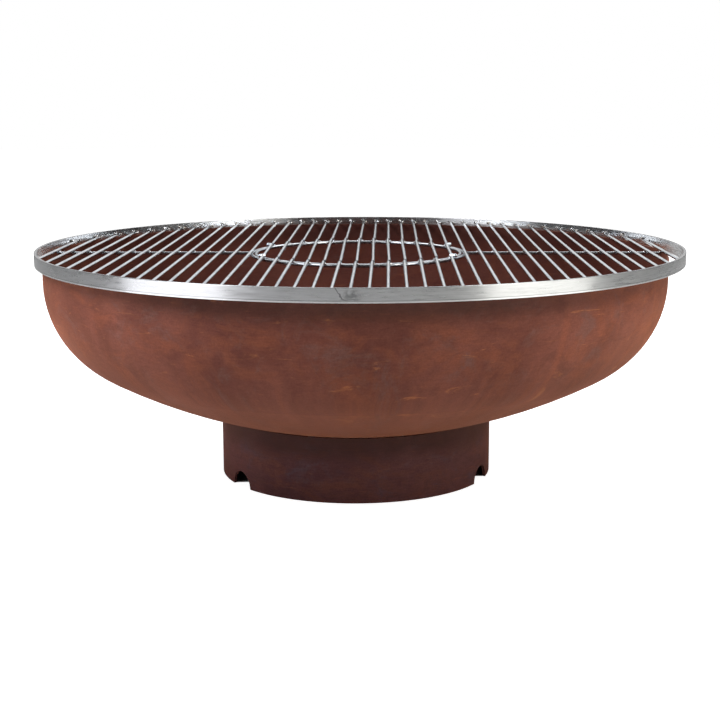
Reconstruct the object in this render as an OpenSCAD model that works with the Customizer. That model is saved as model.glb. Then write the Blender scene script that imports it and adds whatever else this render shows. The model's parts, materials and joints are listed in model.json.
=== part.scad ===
// Round garden fire bowl on a stand ring, with a lift-off cooking grate and a lift-out centre insert.
// +Z is up. The origin lies on the ground, under the centre of the grate's rim.
// -Y is the front, and all rods of the grate run along Y.

/* [Base ring] */
// Outside diameter of the stand ring
base_d = 428; // [380:2:460]
// Height of the stand ring
base_h = 98; // [80:1:140]
// Wall thickness of the stand ring
base_wall = 4; // [3:0.5:6]
// Radius of the half-round notches in the lower edge
notch_r = 24; // [10:1:26]
// Number of notches, evenly spaced
notch_count = 3; // [2:1:4]
// Direction of the first notch, in degrees from +X
notch_angle = -24; // [-60:1:0]
// Width of the upright weld that closes the rolled wall
base_seam_w = 5; // [3:0.5:8]
// Direction of that weld, in degrees from +X
base_seam_angle = 140; // [110:1:150]

/* [Fire bowl] */
// Outside diameter of the bowl
bowl_d = 964; // [900:2:974]
// Wall thickness of the bowl
bowl_wall = 3; // [2:0.5:5]
// Height of the straight flange under the bowl's edge
flange_h = 33.7; // [20:0.1:40]
// Knuckle radius as a share of the bowl's diameter
knuckle_ratio = 0.163; // [0.15:0.001:0.2]
// Crown radius as a share of the bowl's diameter
crown_ratio = 0.85; // [0.8:0.005:0.95]
// Diameter of the drain hole in the bowl's lowest point
drain_d = 12; // [8:1:20]
// How far the bowl's axis lies beside the grate's axis, along X
bowl_shift = -7; // [-8:0.5:8]

/* [Grate] */
// Outside diameter of the grate's rim
grate_d = 1000; // [996:1:1020]
// Height of the rim's flat bar
rim_h = 19; // [16:0.5:24]
// Thickness of the rim's flat bar
rim_wall = 4.5; // [3:0.5:6]
// How far the rim stands above the rods
rim_lip = 6.7; // [4:0.1:9]
// Diameter of every rod and round wire
rod_d = 5; // [4:0.5:5]
// Distance between neighbouring rods
rod_pitch = 23.75; // [23:0.05:23.9]
// How far the rod grid lies beside the rim's axis, along X
grid_shift = -2.8; // [-3:0.1:3]

/* [Centre opening] */
// Radius of the seat ring, to the middle of its wire
seat_r = 167; // [164:0.5:170]
// Radius of the insert's ring, to the middle of its wire
insert_r = 160.5; // [157:0.5:161]
// How far the insert is turned on its seat, in degrees
insert_turn = 0.5; // [0:0.1:0.8]
// Length of the straight part of each lug that carries the insert
lug_len = 8.5; // [7:0.5:10]

/* [Welds] */
// Radius of the beads where a rod meets the rim
rim_bead_r = 3; // [2:0.1:3.5]
// Radius of the beads where round wires cross
wire_bead_r = 2.3; // [1.8:0.1:2.6]

/* [Hidden] */

// Colours
rust = "#8a4636";
dark_rust = "#5d3631";
steel = "#b9bcc0";
bright_steel = "#d8dee4";

// Clearance between pieces that only rest on each other
gap = 0.3;
// Facets of large and of small round shapes
$fn = 32;
big_fn = 180;

// Bowl profile: straight flange, knuckle and shallow crown, tangent to each other
bowl_r = bowl_d / 2;
knuckle_r = knuckle_ratio * bowl_d;
crown_r = crown_ratio * bowl_d;
knuckle_x = bowl_r - knuckle_r;
crown_rise = sqrt(pow(crown_r - knuckle_r, 2) - pow(knuckle_x, 2));
crown_angle = asin(knuckle_x / (crown_r - knuckle_r));
head_depth = crown_r - crown_rise;

// Heights, from the ground up: the bowl's crown rests on the inner edge of the stand ring
base_r = base_d / 2;
base_inner_r = base_r - base_wall;
crown_sag = crown_r - sqrt(pow(crown_r, 2) - pow(base_inner_r, 2));
bowl_bottom_z = base_h + gap - crown_sag;
flange_z = bowl_bottom_z + head_depth;
bowl_top_z = flange_z + flange_h;
rod_z = bowl_top_z + gap + rod_d / 2;
rim_top_z = rod_z + rod_d / 2 + rim_lip;
wire_z = rod_z - rod_d;

// Rod grid: the middle rod is number 0, the others count outwards to both sides
grate_r = grate_d / 2;
rim_inner_r = grate_r - rim_wall;
side_rods = 13;
cut_rods = 7;
inner_rods = 6;
side_first = cut_rods + 1;
rod_r = rod_d / 2;
wire_outer_r = seat_r + rod_r;
insert_end_r = insert_r + 0.5;
// The outermost cut rods run along the seat ring and part just behind its middle
edge_joint_y = 9;
edge_joint_gap = 5;

// Cross rods reach from the outermost rods to the seat ring
cross_left_x = grid_shift - (cut_rods + side_rods) * rod_pitch - 2;
cross_right_x = bowl_shift + bowl_r - bowl_wall - 0.8;

// Welds
rim_seam_w = 7;
wire_seam_w = 4;
seat_seam_angle = 94;
insert_seam_angle = 266;
rim_seam_angle = -90.8;
lug_angle = 28.3;
seam_proud = 0.6;

// X of a rod in the grate's frame, from its number in the grid
function rod_x(i) = grid_shift + i * rod_pitch;
// Half length of a chord at the distance x from a circle's centre
function chord(r, x) = sqrt(max(0, r * r - x * x));
// Y at which a rod meets the rim's inner wall, bedded slightly into it
function rim_y(x) = chord(rim_inner_r, x) + 0.4;

// ---------------------------------------------------------------- base

module ring_wall(r, wall, h) {
    difference() {
        cylinder(r = r, h = h, $fn = big_fn);
        translate([0, 0, -1]) cylinder(r = r - wall, h = h + 2, $fn = big_fn);
    }
}

// Block along the direction a, which a seam keeps and its wall leaves free
module seam_block(r, w, h, a) {
    rotate(a) translate([r / 2, -w / 2, -1]) cube([r, w, h + 2]);
}

module notches() {
    for (k = [0 : notch_count - 1])
        rotate(notch_angle + k * 360 / notch_count)
            translate([base_r / 2, 0, 0]) rotate([0, 90, 0])
                cylinder(r = notch_r, h = base_r, $fn = 64);
}

module base_ring() {
    color(dark_rust) translate([bowl_shift, 0, 0]) difference() {
        ring_wall(base_r, base_wall, base_h);
        seam_block(base_r, base_seam_w, base_h, base_seam_angle);
        notches();
    }
}

module base_seam_weld() {
    color(dark_rust) translate([bowl_shift, 0, 0]) intersection() {
        ring_wall(base_r + seam_proud, base_wall + seam_proud, base_h);
        seam_block(base_r, base_seam_w, base_h, base_seam_angle);
    }
}

// ---------------------------------------------------------------- bowl

// Half outline of a filled dish, inset by t from the bowl's outer face, open at the top
module dish_outline(t, top) {
    r = bowl_r - t;
    rk = knuckle_r - t;
    rc = crown_r - t;
    reach = 2 * crown_r;
    below = flange_z - crown_r;
    tangent = [rc * sin(crown_angle), flange_z + crown_rise - rc * cos(crown_angle)];
    translate([0, flange_z]) square([r, top - flange_z]);
    intersection() {
        translate([knuckle_x, flange_z]) circle(r = rk, $fn = big_fn);
        translate([0, below]) square([reach, crown_r]);
    }
    polygon([[0, flange_z], [knuckle_x, flange_z], tangent, [0, tangent[1]]]);
    intersection() {
        translate([0, flange_z + crown_rise]) circle(r = rc, $fn = 2 * big_fn);
        translate([0, below]) square([tangent[0], tangent[1] - below]);
    }
}

module fire_bowl() {
    color(rust) translate([bowl_shift, 0, 0]) difference() {
        rotate_extrude($fn = big_fn) difference() {
            dish_outline(0, bowl_top_z);
            dish_outline(bowl_wall, bowl_top_z + 1);
        }
        translate([0, 0, bowl_bottom_z - 1]) cylinder(d = drain_d, h = bowl_wall + 3);
    }
}

// ---------------------------------------------------------------- grate: rim and rings

module rim_shape() {
    translate([0, 0, rim_top_z - rim_h]) ring_wall(grate_r, rim_wall, rim_h);
}

module rim_seam() {
    translate([0, 0, rim_top_z - rim_h]) seam_block(grate_r, rim_seam_w, rim_h, rim_seam_angle);
}

module grate_rim() {
    color(steel) difference() {
        rim_shape();
        rim_seam();
    }
}

module grate_rim_weld() {
    color(bright_steel) intersection() {
        rim_shape();
        rim_seam();
    }
}

// Ring bent from round wire, with a short gap at the direction a for its butt weld
module wire_ring(r, a) {
    half_gap = asin(wire_seam_w / 2 / r);
    rotate(a + half_gap) rotate_extrude(angle = 360 - 2 * half_gap, $fn = big_fn)
        translate([r, 0]) circle(d = rod_d);
}

module wire_ring_weld(r, a) {
    half_gap = asin(wire_seam_w / 2 / r);
    rotate(a - half_gap) rotate_extrude(angle = 2 * half_gap, $fn = big_fn)
        translate([r, 0]) circle(d = rod_d + 0.6);
}

module seat_ring() {
    color(steel) translate([grid_shift, 0, wire_z]) wire_ring(seat_r, seat_seam_angle);
}

module seat_ring_weld() {
    color(bright_steel) translate([grid_shift, 0, wire_z]) wire_ring_weld(seat_r, seat_seam_angle);
}

// ---------------------------------------------------------------- grate: rods

// Round rod along Y
module rod_y(x, y0, y1, z) {
    translate([x, y1, z]) rotate([90, 0, 0]) cylinder(d = rod_d, h = y1 - y0);
}

module side_rod(i) {
    x = rod_x(i);
    color(bright_steel) rod_y(x, -rim_y(x), rim_y(x), rod_z);
}

// Y at which a cut rod ends over the seat ring, behind or in front of the opening
function cut_end(i, side) =
    abs(i) == cut_rods ? edge_joint_y + side * edge_joint_gap / 2
                       : side * chord(seat_r, i * rod_pitch);

module front_rods() {
    color(bright_steel) for (i = [-cut_rods : cut_rods])
        rod_y(rod_x(i), -rim_y(rod_x(i)), cut_end(i, -1), rod_z);
}

module back_rods() {
    color(bright_steel) for (i = [-cut_rods : cut_rods])
        rod_y(rod_x(i), cut_end(i, 1), rim_y(rod_x(i)), rod_z);
}

module cross_rod(x0, x1) {
    color(steel) translate([x0, 0, wire_z]) rotate([0, 90, 0]) cylinder(d = rod_d, h = x1 - x0);
}

module cross_rod_left() {
    cross_rod(cross_left_x, grid_shift - wire_outer_r);
}

module cross_rod_right() {
    cross_rod(grid_shift + wire_outer_r, cross_right_x);
}

// ---------------------------------------------------------------- grate: welds

module bead(r, x, y, z) {
    translate([x, y, z]) sphere(r = r);
}

// Two beads fasten the end of rod i to the rim: high on one flank, low on the other
module rim_beads(i, side) {
    high_x = rod_x(i) - side * rod_r;
    low_x = rod_x(i) + side * 1.3 * rod_r;
    bead_path_r = rim_inner_r - rim_bead_r / 2;
    bead(rim_bead_r, high_x, side * chord(bead_path_r, high_x), rod_z + rod_r);
    bead(rim_bead_r, low_x, side * chord(bead_path_r, low_x), rod_z);
}

module side_welds(sign) {
    color(bright_steel) for (k = [side_first : side_first + side_rods - 1], side = [-1, 1])
        rim_beads(sign * k, side);
}

module end_welds(side) {
    color(bright_steel) for (i = [-cut_rods : cut_rods]) rim_beads(i, side);
}

// A bead on each side of every crossing under the full-length rods, and one at the seat ring
module cross_welds(sign) {
    drop = rod_z - 1.3 * rod_r;
    color(bright_steel) {
        for (k = [side_first : side_first + side_rods - 1], side = [-1, 1])
            if (sign * k < side_first + side_rods - 1 || side < 0)
                bead(wire_bead_r, rod_x(sign * k) + side * 1.15 * rod_r, side * 0.8 * rod_r, drop);
        bead(1.2 * wire_bead_r, grid_shift + sign * wire_outer_r, 0, wire_z - 0.4);
    }
}

// Beads beside the ends of the cut rods, on top of the seat ring, on the far side of the lugs at the last rod
module seat_welds() {
    color(bright_steel) for (i = [-inner_rods : inner_rods], side = [-1, 1])
        let (x = rod_x(i) + (i < inner_rods ? 1.2 : -1.2) * rod_r)
            bead(wire_bead_r, x, side * chord(seat_r + 0.6, x - grid_shift), wire_z + 0.9 * rod_r);
}

// ---------------------------------------------------------------- insert

// The insert rests on the seat ring by its four lugs, a gap above the grate's own level
module insert_place() {
    translate([grid_shift, 0, gap]) rotate(insert_turn) children();
}

module insert_ring() {
    color(steel) insert_place() translate([0, 0, wire_z]) wire_ring(insert_r, insert_seam_angle);
}

module insert_ring_weld() {
    color(bright_steel) insert_place() translate([0, 0, wire_z]) wire_ring_weld(insert_r, insert_seam_angle);
}

module insert_rods() {
    color(bright_steel) insert_place() for (i = [-inner_rods : inner_rods])
        let (y = chord(insert_end_r, i * rod_pitch)) rod_y(i * rod_pitch, -y, y, rod_z);
}

// Mirrors its children into one of the four quadrants
module in_quadrant(sx, sy) {
    mirror([sx < 0 ? 1 : 0, 0, 0]) mirror([0, sy < 0 ? 1 : 0, 0]) children();
}

module insert_lugs() {
    color(bright_steel) insert_place()
        for (sx = [-1, 1], sy = [-1, 1]) in_quadrant(sx, sy)
            rotate(lug_angle) translate([insert_r - 0.5, 0, rod_z]) {
                rotate([0, 90, 0]) cylinder(d = rod_d, h = lug_len);
                translate([lug_len, 0, 0]) sphere(d = 1.15 * rod_d);
            }
}

module insert_welds() {
    color(bright_steel) insert_place() for (i = [-inner_rods : inner_rods], side = [-1, 1])
        let (x = i * rod_pitch - 1.2 * rod_r)
            bead(wire_bead_r, x, side * chord(insert_r - 0.8, x), wire_z + 0.9 * rod_r);
}

// ---------------------------------------------------------------- nodes

base_ring();
base_seam_weld();
fire_bowl();
grate_rim();
grate_rim_weld();
seat_ring();
seat_ring_weld();
cross_rod_left();
cross_rod_right();
front_rods();
back_rods();
for (i = [1 : side_rods]) {
    side_rod(-cut_rods - i);
    side_rod(cut_rods + i);
}
side_welds(-1);  // left_rod_welds
side_welds(1);  // right_rod_welds
end_welds(-1);  // front_rod_welds
end_welds(1);  // back_rod_welds
cross_welds(-1);  // left_cross_welds
cross_welds(1);  // right_cross_welds
seat_welds();
insert_ring();
insert_ring_weld();
insert_rods();
insert_lugs();
insert_welds();
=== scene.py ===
"""Looks of a round weathering-steel fire bowl with a stainless cooking grate.

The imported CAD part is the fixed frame. Lengths are metres, in the CAD's own frame: +Z up, -Y the front.
"""
import json
import math
import random

import bmesh
import bpy
from mathutils import Matrix, Vector, noise

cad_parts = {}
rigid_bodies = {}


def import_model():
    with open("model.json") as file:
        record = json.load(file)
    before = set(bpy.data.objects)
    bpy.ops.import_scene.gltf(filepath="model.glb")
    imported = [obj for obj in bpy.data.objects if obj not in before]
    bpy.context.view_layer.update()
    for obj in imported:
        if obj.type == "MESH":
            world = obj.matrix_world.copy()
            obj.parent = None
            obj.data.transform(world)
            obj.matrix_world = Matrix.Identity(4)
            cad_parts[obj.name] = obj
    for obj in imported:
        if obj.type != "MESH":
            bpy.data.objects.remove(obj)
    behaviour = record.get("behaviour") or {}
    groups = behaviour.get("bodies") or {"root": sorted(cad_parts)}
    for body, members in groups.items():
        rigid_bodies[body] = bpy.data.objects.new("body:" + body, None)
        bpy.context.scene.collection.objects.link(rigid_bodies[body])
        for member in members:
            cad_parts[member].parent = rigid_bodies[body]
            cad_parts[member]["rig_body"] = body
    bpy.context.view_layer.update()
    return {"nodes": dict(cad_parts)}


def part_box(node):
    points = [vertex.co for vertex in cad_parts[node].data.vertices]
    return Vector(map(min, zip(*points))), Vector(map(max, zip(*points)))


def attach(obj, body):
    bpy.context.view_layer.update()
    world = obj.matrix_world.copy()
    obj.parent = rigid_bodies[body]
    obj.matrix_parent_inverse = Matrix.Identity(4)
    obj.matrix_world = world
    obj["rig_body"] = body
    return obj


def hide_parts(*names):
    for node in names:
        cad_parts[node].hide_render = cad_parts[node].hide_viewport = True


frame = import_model()

MM = 0.001
NODES = frame["nodes"]
SCENE = bpy.context.scene
WHITE = (1.0, 1.0, 1.0, 1.0)

# The upright axis of the bowl and stand, and the levels that the looks depend on, from the CAD
BOWL_LOW, BOWL_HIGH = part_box("fire_bowl")
BOWL_X = (BOWL_LOW.x + BOWL_HIGH.x) / 2
BOWL_TOP = BOWL_HIGH.z
STAND_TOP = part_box("base_ring")[1].z

# The rim of the grate, whose axis is the Z axis
RIM_LOW, RIM_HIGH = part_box("grate_rim")
RIM_R = min(RIM_HIGH.x, RIM_HIGH.y, -RIM_LOW.x, -RIM_LOW.y)
RIM_WALL = 4.5 * MM
RIM_CORNER = 0.6 * MM


# ------------------------------------------------------------------ colours and node helpers

def srgb(r, g, b):
    """Linear colour of an 8-bit display colour."""
    def channel(v):
        v /= 255
        return v / 12.92 if v <= 0.04045 else ((v + 0.055) / 1.055) ** 2.4
    return channel(r), channel(g), channel(b), 1.0


def darker(colour, factor):
    return tuple(factor * c for c in colour[:3]) + (1.0,)


class Shader:
    """One material, with short calls for the nodes that this script uses."""

    def __init__(self, name, **principled):
        self.material = bpy.data.materials.new(name)
        self.material.use_nodes = True
        self.tree = self.material.node_tree
        self.bsdf = self.tree.nodes["Principled BSDF"]
        self.shade(**principled)
        self.position = self.add("ShaderNodeTexCoord").outputs["Object"]

    def shade(self, **principled):
        """Values or links for the shader's sockets, named with underscores for spaces."""
        for socket, value in principled.items():
            self.feed(self.bsdf.inputs[socket.replace("_", " ")], value)

    def feed(self, socket, value):
        if isinstance(value, bpy.types.NodeSocket):
            self.tree.links.new(value, socket)
        else:
            socket.default_value = value

    def add(self, kind, sockets=None, **settings):
        """New node with its settings, and values or links for its sockets."""
        node = self.tree.nodes.new(kind)
        for key, value in settings.items():
            setattr(node, key, value)
        for key, value in (sockets or {}).items():
            self.feed(node.inputs[key], value)
        return node

    def math(self, operation, a, b=0.0, clamp=False):
        node = self.add("ShaderNodeMath", {0: a, 1: b}, operation=operation, use_clamp=clamp)
        return node.outputs[0]

    def vector(self, operation, *vectors):
        """Vector math. LENGTH and DOT_PRODUCT give a number, and the others a vector."""
        node = self.add("ShaderNodeVectorMath", dict(enumerate(vectors)), operation=operation)
        return node.outputs["Value" if operation in ("LENGTH", "DOT_PRODUCT") else "Vector"]

    def split(self, vector):
        return self.add("ShaderNodeSeparateXYZ", {0: vector}).outputs

    def join(self, x=0.0, y=0.0, z=0.0):
        return self.add("ShaderNodeCombineXYZ", {0: x, 1: y, 2: z}).outputs[0]

    def true_normal(self):
        return self.add("ShaderNodeNewGeometry").outputs["True Normal"]

    def noise(self, vector, scale, detail=4.0, roughness=0.55, distortion=0.0, factors=None):
        """Noise field over a vector, which is first multiplied by factors."""
        if factors:
            vector = self.vector("MULTIPLY", vector, factors)
        node = self.add("ShaderNodeTexNoise", {
            "Vector": vector, "Scale": scale, "Detail": detail,
            "Roughness": roughness, "Distortion": distortion})
        return node.outputs["Fac"]

    def band(self, value, low, high, to_low=0.0, to_high=1.0, kind="SMOOTHSTEP"):
        """Value carried from the range low to high onto to_low to to_high, and held there outside it."""
        node = self.add("ShaderNodeMapRange", {
            "Value": value, "From Min": low, "From Max": high, "To Min": to_low, "To Max": to_high},
            interpolation_type=kind)
        return node.outputs[0]

    def mix(self, factor, a, b, blend="MIX"):
        node = self.add("ShaderNodeMix", data_type="RGBA", blend_type=blend)
        self.feed(node.inputs["Factor"], factor)
        self.feed(node.inputs[6], a)
        self.feed(node.inputs[7], b)
        return node.outputs[2]

    def bump(self, height, strength, distance, under=None):
        """Normal from a height field, on top of the normal under it, if any."""
        node = self.add("ShaderNodeBump", {"Height": height, "Strength": strength, "Distance": distance})
        if under is not None:
            self.feed(node.inputs["Normal"], under)
        return node.outputs[0]

    def from_axis(self, axis_x):
        """Level vector from the upright axis at axis_x."""
        x, y = self.split(self.position)[:2]
        return self.join(self.math("SUBTRACT", x, axis_x), y)

    def inside(self, axis_x):
        """1 where the surface faces up or towards the upright axis, 0 where it faces down or away from it."""
        facing = self.true_normal()
        away = self.vector("DOT_PRODUCT", facing, self.vector("NORMALIZE", self.from_axis(axis_x)))
        up = self.split(facing)[2]
        return self.band(self.math("SUBTRACT", up, away), -0.02, 0.02)

    def round_coordinates(self, axis_x, radius, slope=0.0):
        """Position on a body of revolution, around it at a fixed radius and along its profile, and height."""
        height = self.split(self.position)[2]
        out = self.from_axis(axis_x)
        around = self.vector("MULTIPLY", self.vector("NORMALIZE", out), (radius, radius, 0))
        along = self.math("SUBTRACT", height, self.math("MULTIPLY", self.vector("LENGTH", out), slope))
        return self.vector("ADD", around, self.join(z=along)), height


# ------------------------------------------------------------------ rust

def rust_material(name, tones, radius, slope, seed, top, low_tone, low_grey):
    """Weathering steel: mottled oxide, brushed stains round the bowl's axis, runs, specks and a fine grain.

    Tones are the dark, middle, warm, orange and grey oxide. Radius and slope fit the pattern to the shape,
    and seed moves it. The surface has painted shade just below the height top, most of all at the front and
    the back, and painted shade inside. Well below top its brightness is low_tone, and low_grey of its colour
    is the grey.
    """
    s = Shader(name, Roughness=0.85, Specular_IOR_Level=0.25,
               Sheen_Weight=0.34, Sheen_Roughness=0.45, Sheen_Tint=(1.0, 0.34, 0.16, 1.0))
    dark, middle, warm, orange, grey = (srgb(*tone) for tone in tones)
    place, height = s.round_coordinates(BOWL_X, radius, slope)
    place = s.vector("ADD", place, (seed, seed, seed))
    low = top - 240 * MM

    # Broad clouds, then warm and grey stains and dark patches, all a little wider than high
    clouds = s.noise(place, scale=4.5, detail=5, roughness=0.6, distortion=0.4)
    colour = s.mix(s.band(clouds, 0.34, 0.66), dark, middle)
    stains = s.noise(place, scale=13, detail=8, roughness=0.72, distortion=0.9, factors=(1, 1, 2.0))
    colour = s.mix(s.band(stains, 0.44, 0.68, 0, 0.62), colour, warm)
    cool = s.noise(place, scale=19, detail=7, roughness=0.72, distortion=0.6, factors=(1, 1, 1.6))
    colour = s.mix(s.band(cool, 0.50, 0.70, 0, 0.55), colour, grey)
    patches = s.noise(place, scale=21, detail=6, roughness=0.7, distortion=1.4, factors=(1, 1, 2.0))
    colour = s.mix(s.band(patches, 0.50, 0.68, 0, 0.5), colour, dark)

    # Level orange scratches, upright runs in a few zones, and the grey of the lower part
    strokes = s.noise(place, scale=12, detail=6, roughness=0.65, distortion=1.6, factors=(1, 1, 9))
    colour = s.mix(s.band(strokes, 0.60, 0.72, 0, 0.65), colour, orange)
    runs = s.noise(place, scale=46, detail=3, roughness=0.5, factors=(1, 1, 0.10))
    run_zone = s.band(s.noise(place, scale=3.6, detail=2), 0.50, 0.66)
    colour = s.mix(s.math("MULTIPLY", s.band(runs, 0.60, 0.72, 0, 0.4), run_zone), colour, warm)
    colour = s.mix(s.band(height, top - 150 * MM, low, 0, low_grey), colour, grey)

    # Fine grain, the change of brightness with height, and dark specks
    grain = s.noise(s.position, scale=420, detail=3, roughness=0.7)
    brushed = s.noise(place, scale=75, detail=4, roughness=0.7, factors=(1, 1, 7))
    fleck = s.math("ADD", s.math("MULTIPLY", grain, 0.55), s.math("MULTIPLY", brushed, 0.45))
    tone = s.band(fleck, 0.3, 0.7, 0.63, 1.13, "LINEAR")
    tone = s.math("MULTIPLY", tone, s.band(height, low, top - 50 * MM, low_tone, 1.10))
    colour = s.mix(1.0, colour, tone, "MULTIPLY")
    specks = s.noise(s.position, scale=150, detail=3, roughness=0.6)
    colour = s.mix(s.band(specks, 0.66, 0.74, 0, 0.4), colour, dark)

    # Painted shade under the edge with a ragged lower border, most at front and back; painted shade inside
    border = s.band(stains, 0.3, 0.7, -0.25, 0.25)
    edge_shade = s.math("ADD", s.band(height, top - 50 * MM, top - 12 * MM), border, clamp=True)
    sideways = s.math("ABSOLUTE", s.math("SUBTRACT", s.split(s.position)[0], BOWL_X))
    edge_shade = s.math("MULTIPLY", edge_shade, s.band(sideways, 0.44, 0.12, 0.25, 0.80))
    colour = s.mix(edge_shade, colour, srgb(66, 40, 34))
    # Painted shade on faces turned up or towards the axis: the bowl under the grate, the stand under the bowl
    colour = s.mix(s.math("MULTIPLY", s.inside(BOWL_X), 0.52), colour, srgb(70, 30, 28))

    skin = s.bump(s.noise(s.position, scale=700, detail=4, roughness=0.75), 0.35, 0.4 * MM)
    s.shade(Base_Color=colour,
            Roughness=s.band(clouds, 0.3, 0.7, 0.90, 0.74),
            Normal=s.bump(stains, 0.25, 1.5 * MM, skin))
    return s.material


def bowl_material():
    tones = ((96, 52, 43), (128, 73, 59), (150, 82, 56), (178, 108, 68), (112, 82, 76))
    return rust_material("weathering_steel_bowl", tones, radius=0.48, slope=0.8, seed=3.1,
                         top=BOWL_TOP, low_tone=0.70, low_grey=0.35)


def stand_material():
    tones = ((88, 54, 55), (110, 68, 66), (131, 77, 64), (147, 91, 66), (92, 75, 84))
    return rust_material("weathering_steel_stand", tones, radius=0.214, slope=0.0, seed=7.7,
                         top=STAND_TOP, low_tone=1.08, low_grey=0)


# ------------------------------------------------------------------ stainless steel and weld metal

def rim_material():
    """Stainless flat bar brushed along its length, with faint uneven polish and the mark of its butt weld."""
    s = Shader("brushed_stainless", Metallic=1.0, Anisotropic=0.8, Anisotropic_Rotation=0.25)
    place, height = s.round_coordinates(0.0, RIM_R)
    bright = srgb(215, 215, 216)
    low = darker(bright, 0.80)
    lines = s.noise(place, scale=30, detail=5, roughness=0.7, factors=(1, 1, 16))
    colour = s.mix(s.band(lines, 0.30, 0.60), low, bright)
    fine = s.noise(place, scale=60, detail=3, roughness=0.6, factors=(1, 1, 40))
    colour = s.mix(s.band(fine, 0.35, 0.65, 0.30, 0), colour, low)

    # Painted highlight on the round lower edge, painted shade line above it, painted shade on upward faces
    up = s.math("SUBTRACT", height, RIM_LOW.z)
    shade_line = s.math("MULTIPLY", s.band(up, 1.9 * MM, 2.5 * MM), s.band(up, 3.7 * MM, 2.7 * MM, 0, 0.45))
    colour = s.mix(shade_line, colour, srgb(110, 110, 112))
    colour = s.mix(s.band(up, 2.3 * MM, 1.7 * MM, 0, 0.6), colour, srgb(250, 250, 250))
    # Painted shade on the faces that turn up
    upward = s.split(s.true_normal())[2]
    colour = s.mix(s.band(upward, 0.3, 0.9, 0, 0.7), colour, srgb(120, 120, 122))
    colour = heat_mark(s, colour, darker(low, 0.30))

    # A little smoother on the inner wall
    smears = s.noise(place, scale=6, detail=4, roughness=0.6, factors=(1, 1, 3))
    uneven = s.math("ADD", s.band(lines, 0.3, 0.7, -0.05, 0.05), s.band(smears, 0.3, 0.7, -0.02, 0.03))
    uneven = s.math("ADD", uneven, s.math("MULTIPLY", s.inside(0.0), -0.05))
    s.shade(Base_Color=colour,
            Roughness=s.math("ADD", uneven, 0.30),
            Normal=s.bump(lines, 0.10, 0.06 * MM),
            Tangent=s.add("ShaderNodeTangent", direction_type="RADIAL", axis="Z").outputs[0])
    return s.material


def heat_mark(s, colour, dark):
    """Colour with the rim's ground butt weld: a line down its left edge, one under it, and smudges."""
    seam_low, seam_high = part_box("grate_rim_weld")
    x, y, z = s.split(s.position)
    across = s.math("SUBTRACT", x, (seam_low.x + seam_high.x) / 2)
    down = s.math("SUBTRACT", RIM_HIGH.z, z)
    wobble = s.noise(s.position, scale=110, detail=3)

    # The left edge slants from the upper left to the lower right
    slant = s.math("SUBTRACT", across, s.math("SUBTRACT", s.math("MULTIPLY", down, 0.45), 12 * MM))
    slant = s.math("ABSOLUTE", s.math("ADD", slant, s.band(wobble, 0.3, 0.7, -1.5 * MM, 1.5 * MM)))
    line = s.math("MULTIPLY", s.band(slant, 1.5 * MM, 0.3 * MM), s.band(down, 16 * MM, 13.5 * MM))

    # The lower edge starts there and fades out to the right
    under = s.math("ABSOLUTE", s.math("SUBTRACT", down, s.band(wobble, 0.3, 0.7, 13.6 * MM, 15.4 * MM)))
    under = s.math("MULTIPLY", s.band(under, 1.5 * MM, 0.2 * MM), s.band(across, -8 * MM, -4 * MM))
    under = s.math("MULTIPLY", under, s.band(across, 22 * MM, 12 * MM, 0, 0.7))

    # Smudges between them
    sideways = s.math("MULTIPLY", s.math("SUBTRACT", across, 7 * MM), 0.6)
    away = s.vector("LENGTH", s.join(sideways, s.math("SUBTRACT", down, 9 * MM)))
    smudge = s.math("MULTIPLY", s.band(away, 10 * MM, 2 * MM, 0, 0.8), s.band(wobble, 0.40, 0.60))

    mark = s.math("MAXIMUM", s.math("MAXIMUM", line, under), smudge)
    in_front = s.band(y, -0.44, -0.46, 0, 0.8)
    return s.mix(s.math("MULTIPLY", mark, in_front), colour, dark)


def drawn_material(name, bright, dull, roughness):
    """Drawn stainless wire or bar, with faint draw lines along Y and a few dull patches."""
    s = Shader(name, Metallic=1.0)
    lines = s.noise(s.position, scale=1400, detail=2, roughness=0.6, factors=(1, 0.02, 1))
    patches = s.noise(s.position, scale=38, detail=4, roughness=0.65, factors=(1, 0.5, 1))
    uneven = s.math("ADD", s.band(lines, 0.3, 0.7, -0.03, 0.03), s.band(patches, 0.35, 0.7, 0.0, 0.07))
    s.shade(Base_Color=s.mix(s.band(patches, 0.42, 0.68, 0, 0.7), srgb(*bright), srgb(*dull)),
            Roughness=s.math("ADD", uneven, roughness),
            Normal=s.bump(lines, 0.15, 0.05 * MM))
    return s.material


def weld_material():
    """Bright weld metal with a rippled skin and slight straw and blue heat colour."""
    s = Shader("weld_metal_bright", Metallic=1.0)
    tint = s.noise(s.position, scale=160, detail=3, roughness=0.6)
    colour = s.mix(s.band(tint, 0.40, 0.62), srgb(208, 210, 216), srgb(172, 164, 155))
    s.shade(Base_Color=s.mix(s.band(tint, 0.62, 0.74, 0, 0.6), colour, srgb(128, 136, 158)),
            Roughness=s.band(tint, 0.3, 0.7, 0.12, 0.30),
            Normal=s.bump(s.noise(s.position, scale=800, detail=2), 0.3, 0.3 * MM))
    return s.material


def set_material(obj, material):
    obj.data.materials.clear()
    obj.data.materials.append(material)


# ------------------------------------------------------------------ geometry helpers

def linked(name, mesh_maker, material, body, smooth_angle):
    """Object from a bmesh builder, shaded smooth up to an angle in degrees, riding on a body."""
    bm = bmesh.new()
    mesh_maker(bm)
    bmesh.ops.recalc_face_normals(bm, faces=bm.faces)
    mesh = bpy.data.meshes.new(name)
    bm.to_mesh(mesh)
    bm.free()
    mesh.shade_smooth()
    mesh.set_sharp_from_angle(angle=math.radians(smooth_angle))
    obj = bpy.data.objects.new(name, mesh)
    SCENE.collection.objects.link(obj)
    set_material(obj, material)
    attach(obj, body)
    return obj


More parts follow.
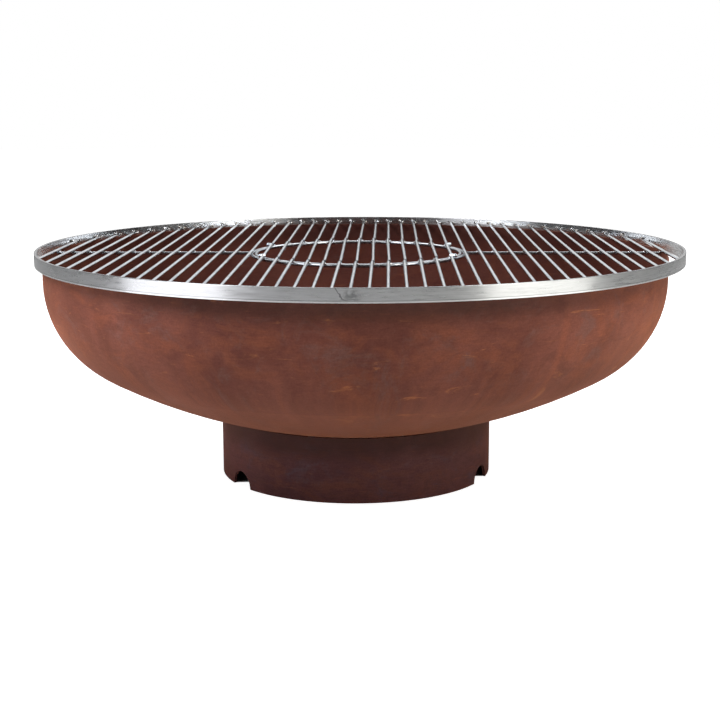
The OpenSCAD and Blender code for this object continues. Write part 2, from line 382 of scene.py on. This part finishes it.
def rounded_section(r0, r1, z0, z1, corner, steps=3):
    """Closed outline of a rectangle with round corners, as (radius, height) points."""
    points = []
    corners = ((r1, z1, 0), (r0, z1, 90), (r0, z0, 180), (r1, z0, 270))
    for r, z, start in corners:
        cx = r - corner if r == r1 else r + corner
        cz = z - corner if z == z1 else z + corner
        for k in range(steps + 1):
            a = math.radians(start + 90 * k / steps)
            points.append((cx + corner * math.cos(a), cz + corner * math.sin(a)))
    return points


def swept_ring(bm, section, start, end, segments):
    """Section swept about Z from one angle to another, closed by flat ends."""
    rows = []
    for k in range(segments + 1):
        a = start + (end - start) * k / segments
        rows.append([bm.verts.new((r * math.cos(a), r * math.sin(a), z)) for r, z in section])
    count = len(section)
    for row, after in zip(rows, rows[1:]):
        for j in range(count):
            bm.faces.new((row[j], row[(j + 1) % count], after[(j + 1) % count], after[j]))
    bm.faces.new(rows[0])
    bm.faces.new(rows[-1])


def shells(mesh):
    """Centre and half size of each separate shell in a mesh, in a fixed order."""
    bm = bmesh.new()
    bm.from_mesh(mesh)
    bmesh.ops.remove_doubles(bm, verts=bm.verts, dist=1e-6)
    left = set(bm.verts)
    boxes = []
    while left:
        stack = [left.pop()]
        found = []
        while stack:
            v = stack.pop()
            found.append(v.co.copy())
            for e in v.link_edges:
                w = e.other_vert(v)
                if w in left:
                    left.remove(w)
                    stack.append(w)
        low = Vector(map(min, *found))
        high = Vector(map(max, *found))
        boxes.append(((low + high) / 2, (high - low) / 2))
    bm.free()
    return sorted(boxes, key=lambda box: tuple(round(v, 5) for v in box[0]))


def bead_mesh(bm, centre, half, rng):
    """One uneven weld bead in the space of the CAD bead: turned, squeezed and lumpy."""
    turn = Matrix.Rotation(rng.uniform(0, math.tau), 3, "Z") @ Matrix.Rotation(rng.uniform(-0.5, 0.5), 3, "X")
    stretch = Vector((rng.uniform(0.85, 1.05), rng.uniform(0.75, 0.95), rng.uniform(0.75, 0.95)))
    shift = Vector((rng.random(), rng.random(), rng.random())) * 9
    swell_height, swell_scale = 0.16, 1.7
    for v in bmesh.ops.create_icosphere(bm, subdivisions=3, radius=1.0)["verts"]:
        n = v.co.normalized()
        swell = 1 + swell_height * noise.noise(n * swell_scale + shift)
        local = turn @ Vector(a * b for a, b in zip(n * swell, stretch))
        v.co = centre + Vector(a * b for a, b in zip(local, half))


# ------------------------------------------------------------------ the object

def dress_stand():
    material = stand_material()
    for node in ("base_ring", "base_seam_weld"):
        set_material(NODES[node], material)


def dress_bowl():
    set_material(NODES["fire_bowl"], bowl_material())


def dress_rim():
    """The rim and its flush weld as one bar with rounded edges, in two pieces."""
    low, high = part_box("grate_rim_weld")
    middle = math.atan2((low.y + high.y) / 2, (low.x + high.x) / 2)
    half = (high.x - low.x) / 2 / RIM_R
    section = rounded_section(RIM_R - RIM_WALL, RIM_R, RIM_LOW.z, RIM_HIGH.z, RIM_CORNER)
    material = rim_material()

    def bar(bm):
        swept_ring(bm, section, middle + half, middle - half + math.tau, segments=360)

    def seam(bm):
        swept_ring(bm, section, middle - half, middle + half, segments=4)

    pieces = (("rim_bar", bar, "grate_rim", "rim_steel"),
              ("rim_bar_weld", seam, "grate_rim_weld", "weld_metal"))
    for name, maker, node, slot in pieces:
        piece = linked(name, maker, material, "grate", smooth_angle=40)
        piece.modifiers.new("flat_faces", "WEIGHTED_NORMAL").keep_sharp = True
        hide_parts(node)


def dress_rods():
    """Bright rods and lugs, and duller wire for the two rings and the cross rods."""
    bar = drawn_material("drawn_stainless_bar", (228, 234, 240), (176, 184, 192), 0.12)
    wire = drawn_material("drawn_stainless_wire", (176, 179, 184), (128, 131, 137), 0.22)
    for name, node in NODES.items():
        if name in ("seat_ring", "insert_ring", "cross_rod_left", "cross_rod_right"):
            set_material(node, wire)
        elif ("rod" in name and "weld" not in name) or name == "insert_lugs":
            set_material(node, bar)


def replace_beads(node, material, seed):
    """Uneven beads in place of a node's round ones, as one piece."""
    rng = random.Random(seed)

    def build(bm):
        for centre, half in shells(NODES[node].data):
            bead_mesh(bm, centre, half, rng)

    piece = linked(node + "_beads", build, material, NODES[node]["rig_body"], smooth_angle=180)
    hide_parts(node)


def dress_welds():
    material = weld_material()
    bead_nodes = ("left_rod_welds", "right_rod_welds", "front_rod_welds", "back_rod_welds",
                  "left_cross_welds", "right_cross_welds", "seat_welds", "insert_welds")
    for seed, node in enumerate(bead_nodes):
        replace_beads(node, material, seed)
    for node in ("seat_ring_weld", "insert_ring_weld"):
        set_material(NODES[node], material)


# ------------------------------------------------------------------ stage, light and camera

def make_floor():
    """A wide white disc."""
    mesh = bpy.data.meshes.new("floor")
    bm = bmesh.new()
    bmesh.ops.create_circle(bm, cap_ends=True, radius=14, segments=96)
    bm.to_mesh(mesh)
    bm.free()
    floor = bpy.data.objects.new("floor", mesh)
    SCENE.collection.objects.link(floor)
    set_material(floor, floor_material())


def floor_material():
    """White to the camera, but left to its own dark shade inside the stand, behind the two front notches."""
    s = Shader("floor_white", Roughness=0.9, Specular_IOR_Level=0.1,
               Base_Color=(0.86, 0.86, 0.86, 1.0), Emission_Color=WHITE)
    x, y = s.split(s.position)[:2]
    reach = s.vector("LENGTH", s.from_axis(BOWL_X))
    outside_stand = s.band(reach, 0.209, 0.213)
    # The shade starts a little behind the notches, at a line that runs nearly along X
    line_slope, line_y = 0.105, -0.083
    depth = s.math("SUBTRACT", y, s.math("MULTIPLY", x, line_slope))
    in_front = s.band(depth, line_y + MM, line_y - MM)
    lit = s.math("MAXIMUM", outside_stand, in_front)
    # The glow is a little stronger far out, where less light reaches the floor
    glow = s.math("ADD", s.math("MULTIPLY", lit, 0.90), s.band(reach, 0.9, 2.4, 0, 0.10))
    seen = s.add("ShaderNodeLightPath").outputs["Is Camera Ray"]
    s.shade(Emission_Strength=s.math("MULTIPLY", seen, glow))
    return s.material


def make_world():
    """White behind the object, and a dim grey studio for everything else to reflect."""
    world = bpy.data.worlds.new("studio")
    SCENE.world = world
    world.use_nodes = True
    tree = world.node_tree
    tree.nodes.clear()
    mix = tree.nodes.new("ShaderNodeMixShader")
    out = tree.nodes.new("ShaderNodeOutputWorld")
    tree.links.new(mix.outputs[0], out.inputs[0])
    path = tree.nodes.new("ShaderNodeLightPath")
    tree.links.new(path.outputs["Is Camera Ray"], mix.inputs[0])
    studio = ((0.96, 0.98, 1.0, 1.0), 0.045)
    backdrop = (WHITE, 1.0)
    for socket, (colour, strength) in enumerate((studio, backdrop), start=1):
        background = tree.nodes.new("ShaderNodeBackground")
        background.inputs["Color"].default_value = colour
        background.inputs["Strength"].default_value = strength
        tree.links.new(background.outputs[0], mix.inputs[socket])


def softbox(name, location, aim, width, height, power, tint=(1, 1, 1)):
    """Area light that the camera doesn't see. Power is in watts."""
    data = bpy.data.lights.new(name, "AREA")
    data.shape = "RECTANGLE"
    data.size = width
    data.size_y = height
    data.energy = power
    data.color = tint
    light = bpy.data.objects.new(name, data)
    light.visible_camera = False
    light.location = location
    light.rotation_euler = (Vector(aim) - Vector(location)).to_track_quat("-Z", "Y").to_euler()
    SCENE.collection.objects.link(light)


def make_lights():
    """Upright panels at both sides that show in the rim, high lights above them, and wide lights behind.

    Each line gives a light's name, place, aim, width, height and power, and its tint where it has one.
    """
    cool = (0.95, 0.96, 1.0)
    warm = (1.0, 1.0, 0.94)
    middle = (0, 0, 0.2)
    softbox("panel_left", (-1.23, -0.98, 0.55), (-0.30, -0.60, 0.55), 0.97, 1.1, 4.9, cool)
    softbox("panel_right", (1.30, -0.99, 0.55), (0.42, -0.51, 0.55), 1.05, 1.1, 4.8, warm)
    softbox("high_left", (-1.5, -0.95, 1.9), middle, 0.9, 0.9, 36, cool)
    softbox("high_right", (1.5, -0.95, 1.9), middle, 0.9, 0.9, 27.5, warm)
    softbox("side_right", (1.8, 0, 1.46), middle, 1.2, 1.2, 3.8, warm)
    softbox("back", (0, 2.9, 1.50), middle, 5.0, 2.0, 23.5)
    softbox("back_high", (0, 2.4, 2.6), middle, 3.0, 1.2, 51)
    softbox("front_low", (0, -3.2, 0.25), (0, 0, 0.3), 2.4, 0.5, 0.8)


def make_camera():
    """Seen from a little above and a hair to the right of the front."""
    data = bpy.data.cameras.new("camera")
    data.sensor_width = 36
    data.lens = 68.08
    data.clip_end = 60
    camera = bpy.data.objects.new("camera", data)
    SCENE.collection.objects.link(camera)
    camera.location = (0.0452, -2.1368, 0.5865)
    down, turn, roll = (math.radians(v) for v in (10.938, 1.224, -0.145))
    facing = Matrix.Rotation(turn, 4, "Z") @ Matrix.Rotation(math.pi / 2 - down, 4, "X")
    camera.rotation_euler = (facing @ Matrix.Rotation(roll, 4, "Z")).to_euler()
    SCENE.camera = camera


SCENE.view_settings.view_transform = "Standard"
make_camera()
make_world()
make_floor()
make_lights()
dress_stand()
dress_bowl()
dress_rim()
dress_rods()
dress_welds()
